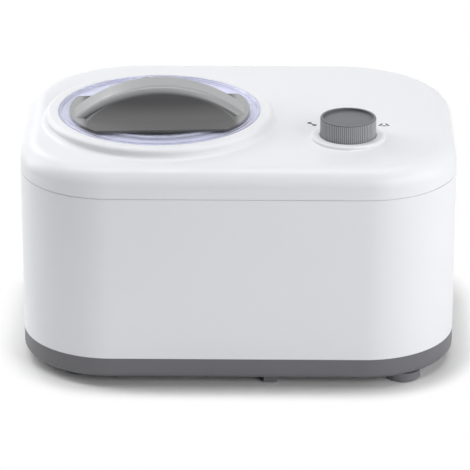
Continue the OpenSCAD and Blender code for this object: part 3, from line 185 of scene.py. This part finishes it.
# Cooling parts round the well: a copper tube, a silicone heating band, a small probe and the foam.
copper = moulded("copper_drawn_tube", "C4764A", 0.36, 0.8, 0.01, metallic=1.0)
heater = moulded("silicone_heating_band", "B5532A", 0.62, 1.0, 0.04)
probe = moulded("epoxy_potting_black", "17181A", 0.4, 0.8, 0.02)
foam = moulded("polyurethane_foam", "E9DDBB", 0.92, 2.0, 0.35)
dress(copper, "evaporator_coil", "capillary_tube", "suction_line", "discharge_line", "liquid_line",
      "filter_drier")
dress(heater, "heater_band")
dress(probe, "temperature_sensor")
dress(foam, "insulation")

# Bowl: spun plain aluminium, lifted out by its rim, with a tube up the middle for the paddle.
bowl_metal = moulded("aluminium_spun", "CDD0D3", 0.34, 0.4, 0.005, metallic=1.0)
smoothed("bowl", "lift_out_bowl", bowl_metal, "plain_aluminium")

# Paddle: polypropylene, slightly waxy and translucent white, driven by the hexagon on the shaft.
paddle_pp = moulded("polypropylene_white", "EDEBE3", 0.42, 1.0, 0.02)
smoothed("paddle", "churn_paddle", paddle_pp, "paddle_plastic", angle=25)

# Drive: ground steel shaft, sintered bronze bushes, acetal gears in a black housing, and the motor.
ground_steel = moulded("steel_ground", "C9CBCE", 0.2, 0.3, 0.004, metallic=1.0)
bronze = moulded("bronze_sintered", "A67C45", 0.45, 0.6, 0.03, metallic=1.0)
acetal = moulded("acetal_natural", "E6E3DA", 0.38, 0.8, 0.01)
black_abs = moulded("black_abs_moulded", "26282B", 0.44, 0.9, 0.02)
winding = moulded("enamelled_copper_winding", "8C4A1C", 0.35, 0.5, 0.08)
motor_steel = moulded("steel_rolled_can", "9DA1A6", 0.36, 0.6, 0.01, metallic=1.0)
dress(ground_steel, "drive_shaft", "idler_pin", "switch_spindle")
dress(bronze, "shaft_bushes")
dress(black_rubber, "shaft_seal", "compressor_grommets")
dress(acetal, "output_gear", "idler_gear", "motor_pinion")
dress(black_abs, "gearbox_base", "gearbox_cover", "relay_cover", "fan_frame", "fan_rotor",
      "rotary_switch")
dress(motor_steel, "motor_can", "motor_rotor")
dress(winding, "fan_stator")
dress(zinc_steel, "motor_screws", "gearbox_screws", "fan_screws", "compressor_bolts", "compressor_plate",
      "switch_nut", "board_screws", "grip_screws")

# Compressor: a welded steel can in black stove enamel, which has a slight orange peel.
enamel = moulded("black_stove_enamel", "141517", 0.2, 2.2, 0.05, spread=0.03, coat=0.4)
dress(enamel, "compressor")

# Condenser: thin aluminium fins on copper tubes, seen only through the rear slots.
fins = moulded("aluminium_fin_stock", "B4B8BC", 0.4, 0.6, 0.02, metallic=1.0)
dress(fins, "condenser")

# Control board: green solder mask over glass epoxy, with dark moulded parts under it.
solder_mask = moulded("solder_mask_green", "1E5B3A", 0.36, 0.8, 0.01, coat=0.3)
dress(solder_mask, "control_board")
board_black = moulded("epoxy_moulded_parts", "1B2233", 0.4, 0.8, 0.02)
dress(board_black, "board_parts")

# Gland: black nylon, pressed into the rear wall where a mains lead leaves.
nylon = moulded("nylon_black", "1B1C1E", 0.5, 0.8, 0.02)
smoothed("cord_gland", "lead_gland", nylon, "black_plastic")

# Lid: clear moulded polycarbonate, 2.2 mm, with a light haze and a cool tint that deepens in its
# rim. Light passes straight on through it to what is below, so its shadow ray is only tinted.
LID_WAVE = 22 * MM       # the waviness that a moulded sheet keeps
LID_WAVE_DEPTH = 0.05 * MM


def clear_polycarbonate():
    material, tree, place, output = finish_of("polycarbonate_clear")
    wave = add_node(tree, "ShaderNodeTexNoise", None,
                    {"Vector": (place, "Object"), "Scale": 1 / LID_WAVE, "Detail": 1.0})
    bump = add_node(tree, "ShaderNodeBump", None,
                    {"Height": (wave, "Fac"), "Distance": LID_WAVE_DEPTH, "Strength": 0.4})
    glass = add_node(tree, "ShaderNodeBsdfPrincipled", None,
                     {"Base Color": linear("DADBE9"), "Roughness": 0.24, "IOR": 1.585,
                      "Transmission Weight": 1.0, "Normal": (bump, "Normal")})
    through = add_node(tree, "ShaderNodeBsdfTransparent", None, {"Color": linear("ECEDF4")})
    ray = add_node(tree, "ShaderNodeLightPath")
    mix = add_node(tree, "ShaderNodeMixShader", None,
                   {"Fac": (ray, "Is Shadow Ray"), 1: (glass, "BSDF"), 2: (through, "BSDF")})
    tree.links.new(mix.outputs["Shader"], output.inputs["Surface"])
    return material


smoothed("clear_lid", "lid_window", clear_polycarbonate(), "clear_plastic", angle=28)

# Lid seal: a ring of pale translucent silicone under the lid, seen through it.
silicone = moulded("silicone_pale", "D9D9D8", 0.55, 1.0, 0.02)
smoothed("lid_seal", "seal_ring", silicone, "silicone")

# Grip: one grey ABS moulding arched over the lid. The arch is satin. The finger hollows below its
# rounded edges are spark-textured and rougher, and are painted a darker grey as painted shade under the
# arch.
GRIP_TURN = radians(3.5)
ARCH_RADIUS, ARCH_EDGE = 111.48 * MM, 6 * MM
# The second colour is painted shade for the finger hollows under the arch.
GRIP_SATIN, GRIP_HOLLOW_SHADE = "959697", "5B5B5C"
SATIN_ROUGH, SPARKED_ROUGH = 0.3, 0.75
FLAT = 1e6               # a scale that takes one axis out of a distance
grip_abs = moulded("grey_abs_satin", GRIP_SATIN, SATIN_ROUGH, 1.0, 0.015)
tree = grip_abs.node_tree
place, shader = tree.nodes["Texture Coordinate"], tree.nodes["Principled BSDF"]
grip_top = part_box("lid_grip")[1].z
lid_low, lid_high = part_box("clear_lid")
middle = (lid_low + lid_high) / 2
along = add_node(tree, "ShaderNodeMapping", {"vector_type": "TEXTURE"},
                 {"Vector": (place, "Object"), "Location": (middle.x, middle.y, grip_top - ARCH_RADIUS),
                  "Rotation": (0, 0, GRIP_TURN), "Scale": (1, FLAT, 1)})
reach = add_node(tree, "ShaderNodeVectorMath", {"operation": "LENGTH"}, {0: (along, "Vector")})
satin = add_node(tree, "ShaderNodeMapRange", {"interpolation_type": "SMOOTHSTEP"},
                 {"Value": (reach, "Value"), "From Min": ARCH_RADIUS - 1.2 * ARCH_EDGE,
                  "From Max": ARCH_RADIUS - 0.4 * ARCH_EDGE})
# Painted shade: inward of the arch's rounded edge the colour turns to the darker grey.
painted_shade_tone = add_node(tree, "ShaderNodeMix", {"data_type": "RGBA"},
                {0: (satin, "Result"), 6: linear(GRIP_HOLLOW_SHADE), 7: linear(GRIP_SATIN)})
tree.links.new(painted_shade_tone.outputs[2], shader.inputs["Base Color"])
sheen = add_node(tree, "ShaderNodeMapRange", None,
                 {"Value": (satin, "Result"), "To Min": SPARKED_ROUGH, "To Max": SATIN_ROUGH})
tree.links.new(sheen.outputs["Result"], shader.inputs["Roughness"])
smoothed("lid_grip", "arched_grip", grip_abs, "grip_grey")

# Knob: grey ABS with fine flutes round its skirt, and a flat disc sunk into its top. Both are satin.
# The floors of the flutes, and the knob inward of the crests, are painted a darker grey as painted shade.
FLUTE = 0.5 * MM
KNOB_CREST, KNOB_FLUTE_SHADE = "A6A7AA", "66676A"
knob_abs = moulded("grey_abs_fluted", KNOB_CREST, 0.42, 0.8, 0.02)
tree = knob_abs.node_tree
place, shader = tree.nodes["Texture Coordinate"], tree.nodes["Principled BSDF"]
low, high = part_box("selector_knob")
axis, skirt = (low + high) / 2, (high.x - low.x) / 2
across = add_node(tree, "ShaderNodeMapping", {"vector_type": "TEXTURE"},
                  {"Vector": (place, "Object"), "Location": (axis.x, axis.y, 0), "Scale": (1, 1, FLAT)})
reach = add_node(tree, "ShaderNodeVectorMath", {"operation": "LENGTH"}, {0: (across, "Vector")})
crest = add_node(tree, "ShaderNodeMapRange", {"interpolation_type": "SMOOTHSTEP"},
                 {"Value": (reach, "Value"), "From Min": skirt - 0.9 * FLUTE,
                  "From Max": skirt - 0.2 * FLUTE})
# Painted shade: inward of the flute crests the colour turns to the darker grey.
painted_shade_tone = add_node(tree, "ShaderNodeMix", {"data_type": "RGBA"},
                {0: (crest, "Result"), 6: linear(KNOB_FLUTE_SHADE), 7: linear(KNOB_CREST)})
tree.links.new(painted_shade_tone.outputs[2], shader.inputs["Base Color"])
smoothed("selector_knob", "knob", knob_abs, "knob_grey", angle=24)
cap_abs = moulded("grey_abs_disc", "5E5F62", 0.42, 0.8, 0.015)
smoothed("knob_cap", "knob_disc", cap_abs, "knob_grey")

# Marks: two small pictograms printed in dark grey ink on the deck, either side of the knob.
# The left one is a two-bladed stirrer and the right one a cup, drawn generic. Their sizes are in mm.
ink = moulded("pad_printed_ink", "2C2D2F", 0.5, 0.6, 0.004)
COLLAR_HEIGHT = 9 * MM
INK = 0.06 * MM
DISC_SIDES = 20
STIRRER_WIDTH, BLADE_RADIUS, CUP_LINE = 1.4, 1.9, 1.6
deck_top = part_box("top_cover")[1].z - COLLAR_HEIGHT


def flat_disc(bm, x, y, radius):
    bmesh.ops.create_circle(bm, cap_ends=True, segments=DISC_SIDES, radius=radius * MM,
                            matrix=Matrix.Translation((x * MM, y * MM, deck_top)))


def flat_bar(bm, x, y, length, width, turn):
    bmesh.ops.create_grid(bm, x_segments=1, y_segments=1, size=0.5,
                          matrix=Matrix.Translation((x * MM, y * MM, deck_top))
                          @ Matrix.Rotation(radians(turn), 4, "Z")
                          @ Matrix.Diagonal((length * MM, width * MM, 1, 1)))


def printed(piece, bm):
    """Gives a flat mark the thickness of the ink."""
    raised = bmesh.ops.extrude_face_region(bm, geom=bm.faces[:])
    bmesh.ops.translate(bm, vec=(0, 0, INK),
                        verts=[g for g in raised["geom"] if isinstance(g, bmesh.types.BMVert)])
    bmesh.ops.recalc_face_normals(bm, faces=bm.faces[:])
    finished(bm, piece, ink, "housing", "dark_plastic")


stirrer = bmesh.new()
flat_bar(stirrer, 62.6, -24.2, 6.0, STIRRER_WIDTH, -50)
flat_disc(stirrer, 60.4, -21.6, BLADE_RADIUS)
flat_disc(stirrer, 64.8, -26.8, BLADE_RADIUS)
printed("mark_stirrer", stirrer)

cup = bmesh.new()
flat_bar(cup, 124.1, -27.8, 4.6, CUP_LINE, 0)
flat_bar(cup, 121.2, -25.2, 6.0, CUP_LINE, 62)
flat_bar(cup, 127.0, -25.2, 6.0, CUP_LINE, 118)
printed("mark_cup", cup)

# Floor: a plain pale sheet. It is white to the camera and in reflections, and keeps the soft shadow.
# Between the two shadow distances from the footprint, a rounded rectangle, it turns to plain light.
FLOOR_HALF = 8
HALF_X, HALF_Y, ROUND = 185 * MM, 137.5 * MM, 85 * MM
SHADOW_FULL, SHADOW_END = 8 * MM, 32 * MM
sheet = bmesh.new()
bmesh.ops.create_grid(sheet, x_segments=1, y_segments=1, size=FLOOR_HALF)
mesh = bpy.data.meshes.new("floor")
sheet.to_mesh(mesh)
sheet.free()
floor = bpy.data.objects.new("floor", mesh)
bpy.context.scene.collection.objects.link(floor)


def seen_in(tree):
    """1 for the camera, in gloss and through clear plastic, and 0 for the light that falls on things."""
    ray = add_node(tree, "ShaderNodeLightPath")
    seen = add_node(tree, "ShaderNodeMath", {"operation": "MAXIMUM"},
                    {0: (ray, "Is Camera Ray"), 1: (ray, "Is Glossy Ray")})
    return add_node(tree, "ShaderNodeMath", {"operation": "MAXIMUM"},
                    {0: (seen, "Value"), 1: (ray, "Is Transmission Ray")})


paper, tree, place, output = finish_of("paper_white")
seen = seen_in(tree)
side = add_node(tree, "ShaderNodeVectorMath", {"operation": "ABSOLUTE"}, {0: (place, "Object")})
side = add_node(tree, "ShaderNodeVectorMath", {"operation": "SUBTRACT"},
                {0: (side, "Vector"), 1: (HALF_X - ROUND, HALF_Y - ROUND, 0)})
side = add_node(tree, "ShaderNodeVectorMath", {"operation": "MAXIMUM"},
                {0: (side, "Vector"), 1: (0, 0, 0)})
side = add_node(tree, "ShaderNodeVectorMath", {"operation": "LENGTH"}, {0: (side, "Vector")})
away = add_node(tree, "ShaderNodeMapRange", {"interpolation_type": "SMOOTHSTEP"},
                {"Value": (side, "Value"), "From Min": ROUND + SHADOW_FULL,
                 "From Max": ROUND + SHADOW_END})
share = add_node(tree, "ShaderNodeMath", {"operation": "MULTIPLY"},
                 {0: (seen, "Value"), 1: (away, "Result")})
matt = add_node(tree, "ShaderNodeBsdfPrincipled", None,
                {"Base Color": linear("FEFEFE"), "Roughness": 0.45})
glow = add_node(tree, "ShaderNodeEmission", None, {"Color": (1, 1, 1, 1), "Strength": 1.0})
mix = add_node(tree, "ShaderNodeMixShader", None,
               {"Fac": (share, "Value"), 1: (matt, "BSDF"), 2: (glow, "Emission")})
tree.links.new(mix.outputs["Shader"], output.inputs["Surface"])
floor.data.materials.append(paper)

# Light: a long strip and a large box overhead, two boxes on the left, high and low, two at the right,
# and a small one behind on the left that the grip's arch catches. The room is white where it is seen
# and gives no light of its own.
scene = bpy.context.scene
world = bpy.data.worlds.new("pale_room")
scene.world = world
world.use_nodes = True
tree = world.node_tree
tree.nodes.clear()
output = add_node(tree, "ShaderNodeOutputWorld")
dark = add_node(tree, "ShaderNodeBackground", None, {"Strength": 0.0})
white = add_node(tree, "ShaderNodeBackground", None, {"Color": (1, 1, 1, 1), "Strength": 1.0})
mix = add_node(tree, "ShaderNodeMixShader", None,
               {"Fac": (seen_in(tree), "Value"), 1: (dark, "Background"), 2: (white, "Background")})
tree.links.new(mix.outputs["Shader"], output.inputs["Surface"])


def soft_box(name, place, aim, width, height, watts):
    lamp = bpy.data.lights.new(name, "AREA")
    lamp.shape, lamp.size, lamp.size_y = "RECTANGLE", width, height
    lamp.energy = watts
    obj = bpy.data.objects.new(name, lamp)
    obj.location = place
    obj.rotation_euler = (Vector(aim) - Vector(place)).to_track_quat("-Z", "Y").to_euler()
    scene.collection.objects.link(obj)


soft_box("overhead_strip", (0.0, 0.10, 2.2), (0, 0.05, 0.1), 2.4, 0.4, 24.5)
soft_box("overhead_box", (0.0, 0.15, 2.2), (0, 0, 0.1), 2.2, 2.0, 4.6)
soft_box("upper_left_box", (-1.4, 0.1, 1.8), (0, 0, 0.1), 1.0, 1.2, 9)
soft_box("grip_box", (-1.0, 1.6, 1.25), (-0.07, 0, 0.22), 0.6, 0.6, 7)
soft_box("left_rear_box", (-1.8, 0.75, 0.7), (-0.1, 0, 0.1), 0.8, 1.2, 16)
soft_box("right_front_box", (1.3, -1.7, 0.9), (0.1, 0, 0.1), 0.9, 1.2, 21.3)
soft_box("right_box", (1.9, -0.3, 0.7), (0.1, 0, 0.1), 0.9, 1.2, 11)

# Camera: a long lens, a little above the object and nearly square to its front.
camera = bpy.data.cameras.new("camera")
camera.lens, camera.sensor_width = 253.5, 36
camera.clip_start, camera.clip_end = 0.1, 30
eye, aim = Vector((0.0328, -2.6809, 1.188)), Vector((-0.0037, 0, 0.0829))
view = bpy.data.objects.new("camera", camera)
view.location = eye
view.rotation_euler = (aim - eye).to_track_quat("-Z", "Y").to_euler()
scene.collection.objects.link(view)
scene.camera = view
scene.view_settings.view_transform = "Standard"
